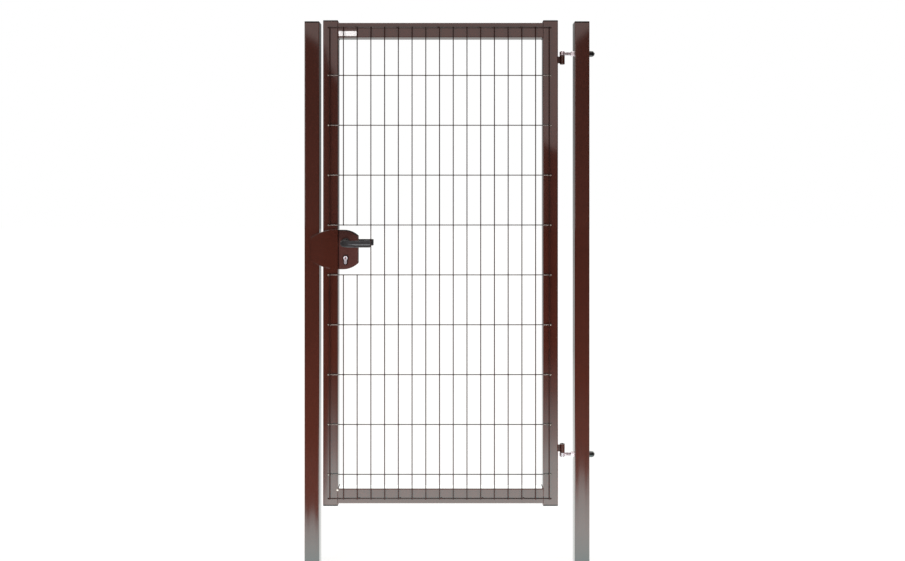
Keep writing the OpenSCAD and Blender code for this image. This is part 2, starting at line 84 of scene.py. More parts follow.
# ---------------------------------------------------------------- node helpers
class Nodes:
    """Small builder over a node tree."""

    def __init__(self, tree):
        self.tree = tree
        tree.nodes.clear()

    def add(self, kind, samples=None, **sockets):
        """Node of a kind, with its inputs by name or, as i0, i1 and so on, by number."""
        node = self.tree.nodes.new("ShaderNode" + kind)
        if samples:
            node.samples = samples
        for key, value in sockets.items():
            self.feed(node.inputs[int(key[1:]) if key[1:].isdigit() else key], value)
        return node

    def feed(self, socket, value):
        if isinstance(value, bpy.types.NodeSocket):
            self.tree.links.new(value, socket)
        elif isinstance(value, bpy.types.Node):
            self.tree.links.new(value.outputs[0], socket)
        else:
            socket.default_value = value

    def math(self, op, *values):
        node = self.tree.nodes.new("ShaderNodeMath")
        node.operation = op
        for socket, value in zip(node.inputs, values):
            self.feed(socket, value)
        return node.outputs[0]

    def ramp(self, value, low, high, out_low=0.0, out_high=1.0, smooth=True):
        """Value from low..high brought onto out_low..out_high, as a smooth step or straight."""
        node = self.tree.nodes.new("ShaderNodeMapRange")
        node.interpolation_type = "SMOOTHSTEP" if smooth else "LINEAR"
        for socket, v in zip(node.inputs, (value, low, high, out_low, out_high)):
            self.feed(socket, v)
        return node.outputs[0]

    def noise(self, coords, scale, detail, rough):
        return self.add("TexNoise", Vector=coords, Scale=scale, Detail=detail, Roughness=rough).outputs[0]

    def curve(self, value, low, high, points):
        """Value through straight stretches between (position, height) points, with heights from 0 to 1."""
        node = self.tree.nodes.new("ShaderNodeValToRGB")
        self.feed(node.inputs[0], self.ramp(value, low, high, smooth=False))
        stops = node.color_ramp.elements
        for i, (at, height) in enumerate(points):
            stop = stops[i] if i < 2 else stops.new(1.0)
            stop.position = (at - low) / (high - low)
            stop.color = (height, height, height, 1)
        return node.outputs[0]

    def mix(self, factor, a, b):
        """Colour a where the factor is 0, and b where it is 1."""
        node = self.tree.nodes.new("ShaderNodeMix")
        node.data_type = "RGBA"
        self.feed(node.inputs[0], factor)
        self.feed(node.inputs[6], a)
        self.feed(node.inputs[7], b)
        return node.outputs[2]

    def bump(self, height, distance, normal=None):
        node = self.add("Bump", Height=height, Strength=1.0, Distance=distance)
        if normal is not None:
            self.feed(node.inputs["Normal"], normal)
        return node.outputs[0]

    def split(self, vector):
        """Outputs X, Y and Z of a vector."""
        return self.add("SeparateXYZ", Vector=vector).outputs


def rgb(r, g, b, a=1.0):
    """Linear colour from 8-bit display values."""
    def linear(v):
        v /= 255
        return v / 12.92 if v <= 0.04045 else ((v + 0.055) / 1.055) ** 2.4
    return linear(r), linear(g), linear(b), a


# ---------------------------------------------------------------- materials
# Colours that painted shade turns to: along a ramp, in crevices and on faces turned up
NO_LIGHT = (0.0, 0.0, 0.0, 1)
CREVICE_SHADE = (0.003, 0.002, 0.002, 1)
TOP_SHADE = (0.001, 0.001, 0.001, 1)
GLOSS_SCALE = 55       # noise of the mottled gloss
WAVE_SCALE = 5.0       # noise of the slow waves
FINE_BLOTCH = 18       # how much finer the small blotches are than the large ones
FINE_SHARE = 0.35      # and their part in the colour


def surface(name, base, dark, rough, metallic=0.0, level=0.5, coat=0.0, coat_rough=0.05, coat_ior=1.5,
            blotch=6.0, grain=900.0, grain_depth=0.00002, waves=0.0, bevel=0.0, rough_spread=0.05, crevice_shade_reach=0.0,
            upper=0.0, painted_shade_ramp=None, ends=None):
    """Finish with blotchy colour between base and dark, mottled gloss and a fine grain.

    waves is the height of slow waves, and bevel the radius of softened edges.
    grime is the reach of painted crevice shade, which darkens colour and specular level near other faces, and
    upper the share of colour and specular level that faces turned up lose to painted shade.
    fade is (axis, low, high, share): a painted shade that takes that share of the colour at low, and none at
    high.
    ends is (middle, low, high, worn): from low to high away from the middle, along X, the colour turns to
    worn, a paler colour painted as a highlight.
    """
    mat = bpy.data.materials.new(name)
    mat.use_nodes = True
    n = Nodes(mat.node_tree)
    coords = n.add("TexCoord").outputs["Object"]
    large = n.noise(coords, blotch, 3.0, 0.55)
    fine = n.noise(coords, blotch * FINE_BLOTCH, 2.0, 0.6)
    both = n.math("MULTIPLY_ADD", fine, FINE_SHARE, n.math("MULTIPLY", large, 1 - FINE_SHARE))
    colour = n.mix(n.ramp(both, 0.32, 0.68), dark, base)
    # Painted highlight: a paler colour away from the middle
    if ends:
        middle, low, high, worn = ends
        away = n.math("ABSOLUTE", n.math("SUBTRACT", n.split(coords)["X"], middle))
        colour = n.mix(n.ramp(away, low, high), colour, worn)
    # Painted shade in crevices, found by ambient occlusion
    if crevice_shade_reach:
        near = n.add("AmbientOcclusion", samples=8, Distance=crevice_shade_reach).outputs["AO"]
        open_air = n.ramp(near, 0.3, 0.85)
        colour = n.mix(open_air, CREVICE_SHADE, colour)
        level = n.math("MULTIPLY", open_air, level)
        coat = n.math("MULTIPLY", open_air, coat)
    # Painted shade on faces turned up
    if upper:
        facing = n.split(n.add("NewGeometry").outputs["Normal"])["Z"]
        lower = n.ramp(facing, 0.15, 0.6, 1.0, 1.0 - upper)
        colour = n.mix(lower, TOP_SHADE, colour)
        level = n.math("MULTIPLY", lower, level)
    # Painted shade along an axis
    if painted_shade_ramp:
        axis, low, high, share = painted_shade_ramp
        colour = n.mix(n.ramp(n.split(coords)[axis], low, high, 1.0 - share, 1.0), NO_LIGHT, colour)
    gloss = n.noise(coords, GLOSS_SCALE, 3.0, 0.6)
    normal = n.add("Bevel", samples=4, Radius=bevel).outputs[0] if bevel else None
    if waves:
        normal = n.bump(n.noise(coords, WAVE_SCALE, 1.0, 0.4), waves, normal)
    normal = n.bump(n.noise(coords, grain, 2.0, 0.5), grain_depth, normal)
    shader = n.add("BsdfPrincipled", Metallic=metallic, Normal=normal)
    for socket, value in (
            ("Base Color", colour),
            ("Roughness", n.math("MULTIPLY_ADD", gloss, 2 * rough_spread, rough - rough_spread)),
            ("Specular IOR Level", level),
            ("Coat Weight", coat),
            ("Coat Roughness", coat_rough),
            ("Coat IOR", coat_ior),
            ("Coat Normal", normal)):
        n.feed(shader.inputs[socket], value)
    n.add("OutputMaterial", Surface=shader)
    return mat


# Paints
# Brown paint of the frame, with painted shade in its crevices
PAINT = surface("brown_paint", rgb(64, 29, 21), rgb(60, 27, 19), 0.045, level=1.0, coat=1.0, coat_rough=0.03,
                coat_ior=1.6, grain=700.0, grain_depth=0.000004, waves=0.00003, bevel=0.0006,
                rough_spread=0.01, crevice_shade_reach=0.003)
# Paint of the lock case, with painted shade in crevices, on its top faces, and darkening towards its top
CASE_PAINT = surface("case_paint", rgb(73, 41, 37), rgb(68, 37, 33), 0.45, level=0.25, grain=700.0,
                     grain_depth=0.00001, bevel=0.0006, crevice_shade_reach=0.003, upper=0.95,
                     painted_shade_ramp=("Z", CASE_HIGH.z + 0.0275, CASE_HIGH.z - 0.0675, 0.5))
# Paint of the hinge barrels and their plates, with painted shade in crevices
BARREL_PAINT = surface("barrel_paint", rgb(66, 30, 22), rgb(58, 26, 18), 0.22, level=0.6, coat=0.4,
                       coat_rough=0.12, grain=500.0, grain_depth=0.00001, bevel=0.0006, crevice_shade_reach=0.003)
WIRE_PAINT = surface("wire_paint", rgb(46, 20, 14), rgb(38, 17, 12), 0.4, level=0.3, coat=0.08,
                     coat_rough=0.1)
# Inner level wires, with painted shade darkening them towards the bottom and a painted highlight where they
# lie over the stiles
LEVEL_PAINT = surface("level_wire_paint", rgb(46, 22, 16), rgb(38, 18, 13), 0.2, level=0.8, coat=0.8,
                      coat_rough=0.1, painted_shade_ramp=("Z", MESH_LOW.z + 0.028, MESH_LOW.z + 0.628, 0.45),
                      ends=(OPENING_MID, OPENING_HALF - 0.0045, OPENING_HALF + 0.0035, rgb(112, 104, 99)))
OUTER_PAINT = surface("outer_wire_paint", rgb(46, 22, 16), rgb(38, 18, 13), 0.2, level=0.8, coat=0.8,
                      coat_rough=0.1)

# Plastics
BLACK = surface("black_plastic", rgb(10, 9, 10), rgb(7, 7, 8), 0.45, level=0.15, grain=1400.0, bevel=0.0004)
GLOSS_BLACK = surface("gloss_black", rgb(10, 10, 11), rgb(8, 8, 9), 0.06, level=0.8, coat=1.0, grain=300.0,
                      grain_depth=0.000005)
# Lever plastic, with painted shade darkening it towards the hub
HANDLE = surface("handle_plastic", rgb(50, 49, 51), rgb(44, 43, 45), 0.3, grain=1800.0, grain_depth=0.00003,
                 bevel=0.0006, painted_shade_ramp=("X", LEVER_LOW.x + 0.0065, LEVER_LOW.x + 0.0425, 0.55))
# Lighter plastic for the groove's upper flank: a painted highlight
HANDLE_BAND_HIGHLIGHT = surface("handle_band_painted_highlight", rgb(84, 82, 84), rgb(76, 74, 76), 0.25, grain=1800.0)

# Metals, welds and the bare plate
THREAD_ZINC = surface("thread_zinc", rgb(196, 182, 186), rgb(160, 148, 152), 0.42, metallic=0.5, blotch=90.0)
# Lighter copy of the zinc for the inner nuts, less metallic so that they show bright: a painted highlight
NUT_ZINC = surface("nut_zinc", rgb(255, 246, 250), rgb(246, 234, 240), 0.3, metallic=0.3, blotch=90.0,
                   bevel=0.0003)
ZINC = surface("zinc", rgb(252, 238, 245), rgb(240, 224, 230), 0.25, metallic=0.85, blotch=90.0, bevel=0.0003)
# Nickel of the cylinder, with painted shade darkening it towards its lower end
NICKEL = surface("nickel", rgb(226, 218, 226), rgb(210, 202, 210), 0.42, metallic=0.25, blotch=40.0,
                 bevel=0.0002, painted_shade_ramp=("Z", CYL_HIGH.z - 0.0335, CYL_HIGH.z + 0.0085, 0.6))
# Dark colour for the keyway: painted shade of the slot
KEYWAY_PAINTED_SHADE = surface("keyway", rgb(110, 40, 36), rgb(60, 22, 20), 0.5, blotch=400.0)
WELD = surface("weld_paint", rgb(63, 29, 21), rgb(44, 20, 15), 0.4, level=0.6, coat=0.3, coat_rough=0.15,
               blotch=300.0, grain=500.0, grain_depth=0.00006)
# Glossy weld for the inner level wires' ends, its pale colour a painted highlight
GLOSS_WELD_PAINTED_HIGHLIGHT = surface("gloss_weld_painted_highlight", rgb(176, 168, 152), rgb(84, 76, 68), 0.15, level=1.0, coat=1.0,
                     coat_rough=0.08, coat_ior=1.8, blotch=300.0, grain=500.0)
# Near-white weld colour: a painted highlight standing in for glare
WELD_PAINTED_GLARE = surface("weld_painted_glare", rgb(226, 222, 214), rgb(184, 178, 168), 0.35, metallic=0.3, blotch=300.0,
                    grain=500.0, grain_depth=0.00004)
WHITE_PLATE = surface("white_plate", rgb(252, 251, 252), rgb(248, 247, 249), 0.4, blotch=20.0, grain=300.0,
                      grain_depth=0.00001)

SLOT_FINISH = {"brown_paint": PAINT, "black_plastic": BLACK, "handle_plastic": HANDLE, "zinc": ZINC,
               "nickel": NICKEL}
OWN_FINISH = {"upper_nut_cover": GLOSS_BLACK, "lower_nut_cover": GLOSS_BLACK,
              "upper_hinge_barrel": BARREL_PAINT, "lower_hinge_barrel": BARREL_PAINT,
              "upper_inner_nut": NUT_ZINC, "lower_inner_nut": NUT_ZINC, "lock_case": CASE_PAINT}
for name, node in NODES.items():
    node.data.materials.clear()
    node.data.materials.append(OWN_FINISH.get(name, SLOT_FINISH[SLOT[name]]))


# ---------------------------------------------------------------- mesh helpers
def piece(name, bm, materials, body, smooth=True, replaces=()):
    """Object of the shells in bm, with their faces turned outwards, that rides on a body of the frame."""
    bmesh.ops.recalc_face_normals(bm, faces=bm.faces[:])
    mesh = bpy.data.meshes.new(name)
    bm.to_mesh(mesh)
    bm.free()
    obj = bpy.data.objects.new(name, mesh)
    scene.collection.objects.link(obj)
    for material in materials:
        mesh.materials.append(material)
    if smooth:
        mesh.shade_smooth()
    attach(obj, body)
    if replaces:
        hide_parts(*replaces)


def turn(steps):
    """Angles of a full turn in equal steps."""
    return [2 * math.pi * i / steps for i in range(steps)]


def ring(bm, centre, a, b, ra, rb, sides):
    """Ellipse of vertices, with its half axes ra along a and rb along b."""
    return [bm.verts.new(centre + a * (ra * math.cos(t)) + b * (rb * math.sin(t))) for t in turn(sides)]


def skin(bm, rings, round_trip=False):
    """Closed surface through the rings: capped at both ends, or joined from the last back to the first."""
    for r0, r1 in zip(rings, rings[1:] + rings[:1] if round_trip else rings[1:]):
        for i in range(len(r0)):
            j = (i + 1) % len(r0)
            bm.faces.new((r0[i], r0[j], r1[j], r1[i]))
    if not round_trip:
        bm.faces.new(rings[0][::-1])
        bm.faces.new(rings[-1])


LUMP_SCALE = 1.7


def bead(bm, centre, half_size, seed, rough, sides=10, levels=6):
    """Lumpy drop of weld."""
    rx, ry, rz = half_size
    rings = []
    for k in range(1, levels):
        t = math.pi * k / levels
        row = []
        for p in turn(sides):
            d = Vector((math.sin(t) * math.cos(p), math.cos(t), math.sin(t) * math.sin(p)))
            lump = 1 + rough * noise.noise(d * LUMP_SCALE + Vector((seed, seed * 0.7, 0)))
            row.append(bm.verts.new(centre + Vector((d.x * rx, d.y * ry, d.z * rz)) * lump))
        rings.append(row)
    skin(bm, rings)


# ---------------------------------------------------------------- welded mesh
WIRE_R, WIRE_SIDES = 0.002, 16
CUT_LENGTH = 0.0006      # of the rounding at a wire's cut end
CUT_EDGE = ((0.0, 0.72), (0.35, 0.93), (1.0, 1.0))      # share of that length, share of the radius
CELL_W, CELL_H, FIRST_CELL = 0.055, 0.2, 0.098
FULL_CELLS, HALF_COLUMNS = 9, 8
TAIL = 0.008             # from the mesh's lower and upper ends to its outer level wires
CASE_GAP = 0.004         # least gap between the lock case and the first whole upright wire
ROW_MARGIN = 0.01        # faces this near to an outer level wire count as its own
CROSSING_SIZE = (0.0029, 0.0009, 0.0029)
ROW_Y = FRONT_Y - WIRE_R
COLUMN_Y = MESH_LOW.y + WIRE_R
FIRST_ROW, LAST_ROW = MESH_LOW.z + TAIL, MESH_HIGH.z - TAIL
ROWS = [FIRST_ROW] + [FIRST_ROW + FIRST_CELL + i * CELL_H for i in range(FULL_CELLS)] + [LAST_ROW]
MESH_MID = (MESH_LOW.x + MESH_HIGH.x) / 2
COLUMNS = [MESH_MID + i * CELL_W for i in range(-HALF_COLUMNS, HALF_COLUMNS + 1)]
WINDOW_LOW, WINDOW_HIGH = ROWS[5], ROWS[6]
WINDOW_COLUMN = next(x for x in COLUMNS if x > CASE_HIGH.x + CASE_GAP)


def rod(bm, start, end):
    """Straight wire with slightly rounded cut ends."""
    axis = (end - start).normalized()
    a = axis.orthogonal().normalized()
    b = axis.cross(a)
    places = [(start + axis * (way * CUT_LENGTH), share) for way, share in CUT_EDGE]
    places += [(end - axis * (way * CUT_LENGTH), share) for way, share in reversed(CUT_EDGE)]
    skin(bm, [ring(bm, at, a, b, WIRE_R * share, WIRE_R * share, WIRE_SIDES) for at, share in places])


def on_inner_row(face):
    """Whether a face lies between the outer level wires, and not on them."""
    return FIRST_ROW + ROW_MARGIN < face.calc_center_median().z < LAST_ROW - ROW_MARGIN


def mesh_wires():
    """Level wires on the frame's front, and before them upright ones, which leave the lock's window open."""
    bm = bmesh.new()
    for z in ROWS:
        rod(bm, Vector((MESH_LOW.x, ROW_Y, z)), Vector((MESH_HIGH.x, ROW_Y, z)))
    # Inner level wires take the paint with painted shade and a painted highlight
    for f in bm.faces:
        f.material_index = 1 if on_inner_row(f) else 2
    foot, head = FIRST_ROW - WIRE_R, LAST_ROW + WIRE_R
    for x in COLUMNS:
        spans = [(foot, head)]
        if x < WINDOW_COLUMN:
            spans = [(foot, WINDOW_LOW + WIRE_R), (WINDOW_HIGH - WIRE_R, head)]
        for low, high in spans:
            rod(bm, Vector((x, COLUMN_Y, low)), Vector((x, COLUMN_Y, high)))
    piece("mesh_wires", bm, [WIRE_PAINT, LEVEL_PAINT, OUTER_PAINT], "leaf",
          replaces=["mesh_panel"])


def crossing_welds():
    """Resistance welds squeezed out beside each crossing."""
    bm = bmesh.new()
    for i, x in enumerate(COLUMNS):
        for j, z in enumerate(ROWS):
            bead(bm, Vector((x, (ROW_Y + COLUMN_Y) / 2, z)), CROSSING_SIZE, i * 3.1 + j * 1.7, 0.5)
    piece("crossing_welds", bm, [WIRE_PAINT], "leaf")


mesh_wires()
crossing_welds()


# ---------------------------------------------------------------- welds on the frame
SCALE_PITCH, SCALE_SIDES = 0.0026, 10
SCALE_TURNS = (0.35, 0.9, 1.57, 2.25, 2.8)      # angles along a weld scale at which it has its rings
SCALE_HALF_LENGTH = 0.75                        # of a weld scale, as a share of the pitch
WOBBLE, SWELL = 0.25, 0.22                      # how much the scales stray sideways and differ in size
SEAM_HALF_W = 0.0024
FACE_SEAM_H, FACE_SEAM_GAP = 0.0011, 0.003      # height of a seam across a rail's face, and gap at its ends
FACE_SEAM_SINK, FACE_SEAM_SHIFT = 0.0009, 0.0012        # into the face, and onto the stile
EDGE_SEAM_H, EDGE_SEAM_GAP = 0.0022, 0.004      # the same of a seam along a rail's edge
CORNER_SIZE = (0.0042, 0.0046, 0.004)
BRIGHT_SIZE = (0.0044, 0.003, 0.0044)
WIRE_END_SIZE = (0.0042, 0.0023, 0.0031)
WIRE_END_IN, WIRE_END_DROP = 0.0055, 0.0004     # from the wire's end, and below its middle
TACKED = (-6, -3, 0, 3, 6)                      # upright wires, counted from the middle one, beside the tacks
TACKS = ((LAST_ROW + 0.0008, -0.0058, (0.0036, 0.0022, 0.0038), 1.9),
         (FIRST_ROW + 0.0012, 0.0075, (0.0044, 0.0022, 0.0034), 2.9))   # Z, X from the wire, half size, seed
BARREL_SEAM_PITCH, BARREL_SEAM_HALF = 0.002, 0.0125
BARREL_SEAM_W, BARREL_SEAM_H = 0.0016, 0.0018
BARREL_SEAM_IN, BARREL_SEAM_Y = 0.0008, 0.003   # from the barrel part's edge, and from its middle plane


def seam(bm, start, end, across, out, seed, pitch=SCALE_PITCH):
    """Row of overlapping weld scales; across and out are half sizes as vectors."""
    axis = (end - start).normalized()
    steps = max(2, round((end - start).length / pitch))
    for i in range(steps + 1):
        k = seed + i * 1.31
        at = start.lerp(end, i / steps) + across * (WOBBLE * noise.noise(Vector((k, 0.3, 0))))
        size = 1 + SWELL * noise.noise(Vector((k, 2.7, 0)))
        rings = []
        for a in SCALE_TURNS:
            middle, share = at + axis * (SCALE_HALF_LENGTH * pitch * math.cos(a)), size * math.sin(a)
            rings.append([bm.verts.new(middle + (across * math.cos(t) + out * math.sin(t)) * share)
                          for t in turn(SCALE_SIDES)])
        skin(bm, rings)


def rail_welds(bm):
    """Seams round the rails' ends, and drops in three of the opening's corners.

    The top rail has no seams across its front, where the joint is ground flat.
    """
    across = Vector((SEAM_HALF_W, 0, 0))
    for k, rail in enumerate(("top_rail", "bottom_rail")):
        low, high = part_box(rail)
        for x, side in ((low.x, -1), (high.x, 1)):
            seam_x = x + side * FACE_SEAM_SHIFT
            for y, out in ((FRONT_Y + FACE_SEAM_SINK, -1), (BACK_Y - FACE_SEAM_SINK, 1)):
                if k == 0 and out < 0:
                    continue
                foot, head = low.z + FACE_SEAM_GAP, high.z - FACE_SEAM_GAP
                seam(bm, Vector((seam_x, y, foot)), Vector((seam_x, y, head)), across,
                     Vector((0, FACE_SEAM_H * out, 0)), k * 7.3 + side * 3.1 + out)
            for z, up in ((low.z, -1), (high.z, 1)):
                near, far = FRONT_Y + EDGE_SEAM_GAP, BACK_Y - EDGE_SEAM_GAP
                seam(bm, Vector((x, near, z)), Vector((x, far, z)), across,
                     Vector((0, 0, EDGE_SEAM_H * up)), k * 3.7 + side * 5.9 + up)
                if (k, up, side) in ((0, -1, -1), (0, -1, 1), (1, 1, 1)):
                    bead(bm, Vector((x - side * 0.001, FRONT_Y + 0.003, z - up * 0.0015)), CORNER_SIZE,
                         k + side * 2.3 + up, 0.3)


def wire_welds(bm):
    """Drops at the level wires' ends, and a few that tack the outer level wires to the rails."""
    for i, z in enumerate(ROWS):
        for x, side in ((MESH_LOW.x, 1), (MESH_HIGH.x, -1)):
            bead(bm, Vector((x + side * WIRE_END_IN, ROW_Y, z - WIRE_END_DROP)), WIRE_END_SIZE,
                 i * 2.3 + side, 0.4)
    for i in TACKED:
        for z, off, half_size, seed in TACKS:
            bead(bm, Vector((COLUMNS[i + HALF_COLUMNS] + off, ROW_Y, z)), half_size, i * seed, 0.4)


def barrel_welds(bm):
    """Short seams on both sides of the plates that hold the hinge barrels."""
    for part in ("upper_hinge_barrel", "lower_hinge_barrel"):
        low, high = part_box(part)
        x, mid = low.x + BARREL_SEAM_IN, (low.z + high.z) / 2
        for y, out in ((-BARREL_SEAM_Y, -1), (BARREL_SEAM_Y, 1)):
            seam(bm, Vector((x, y, mid - BARREL_SEAM_HALF)), Vector((x, y, mid + BARREL_SEAM_HALF)),
                 Vector((BARREL_SEAM_W, 0, 0)), Vector((0, BARREL_SEAM_H * out, 0)), mid + out,
                 pitch=BARREL_SEAM_PITCH)


def frame_welds():
    """All painted welds; the ones at the inner level wires' ends are glossy, with a pale colour that is a
    painted highlight.
    """
    bm = bmesh.new()
    rail_welds(bm)
    dull = len(bm.faces)
    wire_welds(bm)
    bm.faces.ensure_lookup_table()
    # The inner rows' end drops take the pale weld, a painted highlight
    for f in bm.faces[dull:]:
        f.material_index = int(on_inner_row(f))
    barrel_welds(bm)
    piece("frame_welds", bm, [WELD, GLOSS_WELD_PAINTED_HIGHLIGHT], "leaf")


def bright_weld():
    """Pale drop of weld where the lock stile meets the bottom rail, its colour a painted highlight for glare.
    """
    bm = bmesh.new()
    low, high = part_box("bottom_rail")
    bead(bm, Vector((low.x - 0.0022, FRONT_Y + 0.0008, high.z - 0.0055)), BRIGHT_SIZE, 4.1, 0.25,
         sides=16, levels=8)
    piece("bright_weld", bm, [WELD_PAINTED_GLARE], "leaf")


frame_welds()
bright_weld()


# ---------------------------------------------------------------- bare plate on the top rail
PLATE_W, PLATE_H, PLATE_R = 0.0715, 0.02, 0.0025
PLATE_LEFT = STILE_HIGH.x + 0.003
PLATE_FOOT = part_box("top_rail")[0].z + 0.006
PLATE_FRONT, PLATE_BACK = FRONT_Y - 0.0003, FRONT_Y + 0.0002
PLATE_EDGE, CORNER_STEPS = 0.0001, 6


def bare_plate():
    """Thin plate with rounded corners and a softened front edge."""
    left, right = PLATE_LEFT + PLATE_R, PLATE_LEFT + PLATE_W - PLATE_R
    foot, head = PLATE_FOOT + PLATE_R, PLATE_FOOT + PLATE_H - PLATE_R
    bm = bmesh.new()
    rings = []
    for y, inset in ((PLATE_BACK, 0.0), (PLATE_FRONT + PLATE_EDGE, 0.0), (PLATE_FRONT, PLATE_EDGE)):
        r = PLATE_R - inset
        loop = []
        for x, z, start in ((right, head, 0), (left, head, 90), (left, foot, 180), (right, foot, 270)):
            for i in range(CORNER_STEPS + 1):
                t = math.radians(start + 90 * i / CORNER_STEPS)
                loop.append(bm.verts.new((x + r * math.cos(t), y, z + r * math.sin(t))))
        rings.append(loop)
    skin(bm, rings)
    piece("bare_plate", bm, [WHITE_PLATE], "leaf", smooth=False)


bare_plate()


# ---------------------------------------------------------------- lock cylinder
ROUND_R, LEG_R = 0.0085, 0.005          # of the cylinder's profile
CYL = Vector(((CYL_LOW.x + CYL_HIGH.x) / 2, 0, CYL_HIGH.z - ROUND_R))
ROTOR_RINGS = ((0.0058, 0.0075, 0.0001), (0.0044, 0.0051, 0.00016))     # inner and outer radius, height
RING_EDGE, RING_ROOT, RING_SIDES = 0.0001, -0.0003, 32
KEYWAY_RX, KEYWAY_RZ, KEYWAY_SIDES = 0.0021, 0.004, 24
KEYWAY_BACK, KEYWAY_FRONT = -0.0006, 0.00004    # measured outwards from the cylinder's face
SEAL_SECTION = ((0.0003, -0.0004), (0.0003, 0.0005), (0.0007, 0.0008), (0.0029, 0.0006),
                (0.0033, -0.0004))      # beyond the profile, and out of the case's face
ROUND_STEPS, LEG_STEPS = 32, 12
CYL_FACES = ((CYL_LOW.y, -1), (CYL_HIGH.y, 1))
CASE_FACES = ((CASE_LOW.y, -1), (CASE_HIGH.y, 1))


def disc(bm, y, rx, rz, sides):
    return ring(bm, CYL + Vector((0, y, 0)), X_AXIS, Z_AXIS, rx, rz, sides)


def cylinder_rotor():
    """Two fine raised rings on each end of the cylinder."""
    bm = bmesh.new()
    for y, out in CYL_FACES:
        for r0, r1, lift in ROTOR_RINGS:
            section = ((r0, RING_ROOT), (r0, lift * 0.6), (r0 + RING_EDGE, lift), (r1 - RING_EDGE, lift),
                       (r1, lift * 0.6), (r1, RING_ROOT))
            skin(bm, [disc(bm, y + out * dy, r, r, RING_SIDES) for r, dy in section], round_trip=True)
    piece("cylinder_rotor", bm, [NICKEL], "leaf", smooth=False)


def cylinder_keyway():
    """Dark oval at the keyway on each end, painted shade for the slot."""
    bm = bmesh.new()
    for y, out in CYL_FACES:
        skin(bm, [disc(bm, y + out * dy, KEYWAY_RX, KEYWAY_RZ, KEYWAY_SIDES)
                  for dy in (KEYWAY_BACK, KEYWAY_FRONT)])
    piece("cylinder_keyway", bm, [KEYWAY_PAINTED_SHADE], "leaf", smooth=False)


def profile(bm, grow, y):
    """Outline of the cylinder's profile, grown outwards, at depth y."""
    r, half = ROUND_R + grow, LEG_R + grow
    wide, foot = math.asin(half / r), CYL_LOW.z + LEG_R
    loop = []
    for i in range(ROUND_STEPS + 1):
        t = -math.pi / 2 + wide + (2 * math.pi - 2 * wide) * i / ROUND_STEPS
        loop.append((CYL.x + r * math.cos(t), CYL.z + r * math.sin(t)))
    for i in range(LEG_STEPS + 1):
        t = math.pi + math.pi * i / LEG_STEPS
        loop.append((CYL.x + half * math.cos(t), foot + half * math.sin(t)))
    return [bm.verts.new((x, y, z)) for x, z in loop]


def cylinder_seal_and_gap_shade():
    """Black seal round the cylinder's profile, on the case's front and back, which also stands in as painted
    shade for the gap round the cylinder.
    """
    bm = bmesh.new()
    for y, out in CASE_FACES:
        skin(bm, [profile(bm, grow, y + out * dy) for grow, dy in SEAL_SECTION], round_trip=True)
    piece("cylinder_seal_and_gap_shade", bm, [BLACK], "leaf", smooth=False)


cylinder_rotor()
cylinder_keyway()
cylinder_seal_and_gap_shade()


# ---------------------------------------------------------------- levers with a finger groove
GROOVE = ((0.0, 0.0018), (0.0015, 0.0006), (0.0092, 0.0022), (0.0125, 0.0))     # height on the grip, depth
# The groove's upper flank carries a painted highlight
BAND_LOW, BAND_HIGH = GROOVE[-2][0], GROOVE[-1][0]      # the groove's upper flank
GROOVE_LENGTH, GROOVE_RISE = 0.086, 0.03        # whole length, and the stretch over which it gets deep
GROOVE_REACH = 0.0045                           # how far in from the face the vertices are moved
BAND_REACH = 0.0025                             # and how far in the flank's own faces lie
SHARP = math.radians(20)


def groove_depth(h):
    """Depth of the groove at a height above the grip's lower edge."""
    for (h0, d0), (h1, d1) in zip(GROOVE, GROOVE[1:]):
        if h <= h1 + 1e-7:
            return d0 + (d1 - d0) * max(0.0, h - h0) / (h1 - h0)
    return 0.0


def grooved_lever(name, out):
    """The lever with a groove pressed along the lower part of its outer face, which is towards out."""
    low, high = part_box(name)
    bm = bmesh.new()
    bm.from_mesh(NODES[name].data)
    bm.transform(NODES[name].matrix_world)
    bmesh.ops.remove_doubles(bm, verts=bm.verts[:], dist=0.00001)
    face = low.y if out < 0 else high.y
    foot = min(v.co.z for v in bm.verts if v.co.x > high.x - GROOVE_RISE)
    start = high.x - GROOVE_LENGTH
    cuts = [(X_AXIS * x, X_AXIS) for x in (start, start + GROOVE_RISE / 3, start + GROOVE_RISE)]
    cuts += [(Z_AXIS * (foot + h), Z_AXIS) for h, _ in GROOVE[1:]]
    for at, normal in cuts:
        bmesh.ops.bisect_plane(bm, geom=bm.verts[:] + bm.edges[:] + bm.faces[:], dist=0.000001, plane_co=at,
                               plane_no=normal)
    for v in bm.verts:
        depth, h = abs(v.co.y - face), v.co.z - foot
        if depth > GROOVE_REACH or h > BAND_HIGH or v.co.x < start:
            continue
        share = min(1.0, (v.co.x - start) / GROOVE_RISE)
        v.co.y = face - out * (depth + (groove_depth(h) - depth) * share)
        if abs(h - BAND_LOW) < 1e-5:
            v.co.z += (BAND_HIGH - BAND_LOW) * 0.9 * (1 - share)
    bmesh.ops.triangulate(bm, faces=bm.faces[:])
    bm.normal_update()
    for e in bm.edges:
        e.smooth = e.calc_face_angle(0.0) < SHARP
    for f in bm.faces:
        at = f.calc_center_median()
        f.smooth = at.x < start
        # Faces on the groove's upper flank take the lighter plastic, a painted highlight
        if at.x > start and abs(at.y - face) < BAND_REACH and BAND_LOW < at.z - foot < BAND_HIGH:
            f.material_index = 1
    piece(name + "_grooved", bm, [HANDLE, HANDLE_BAND_HIGHLIGHT], "handle", smooth=False,
          replaces=[name])


grooved_lever("front_handle", -1)
grooved_lever("rear_handle", 1)


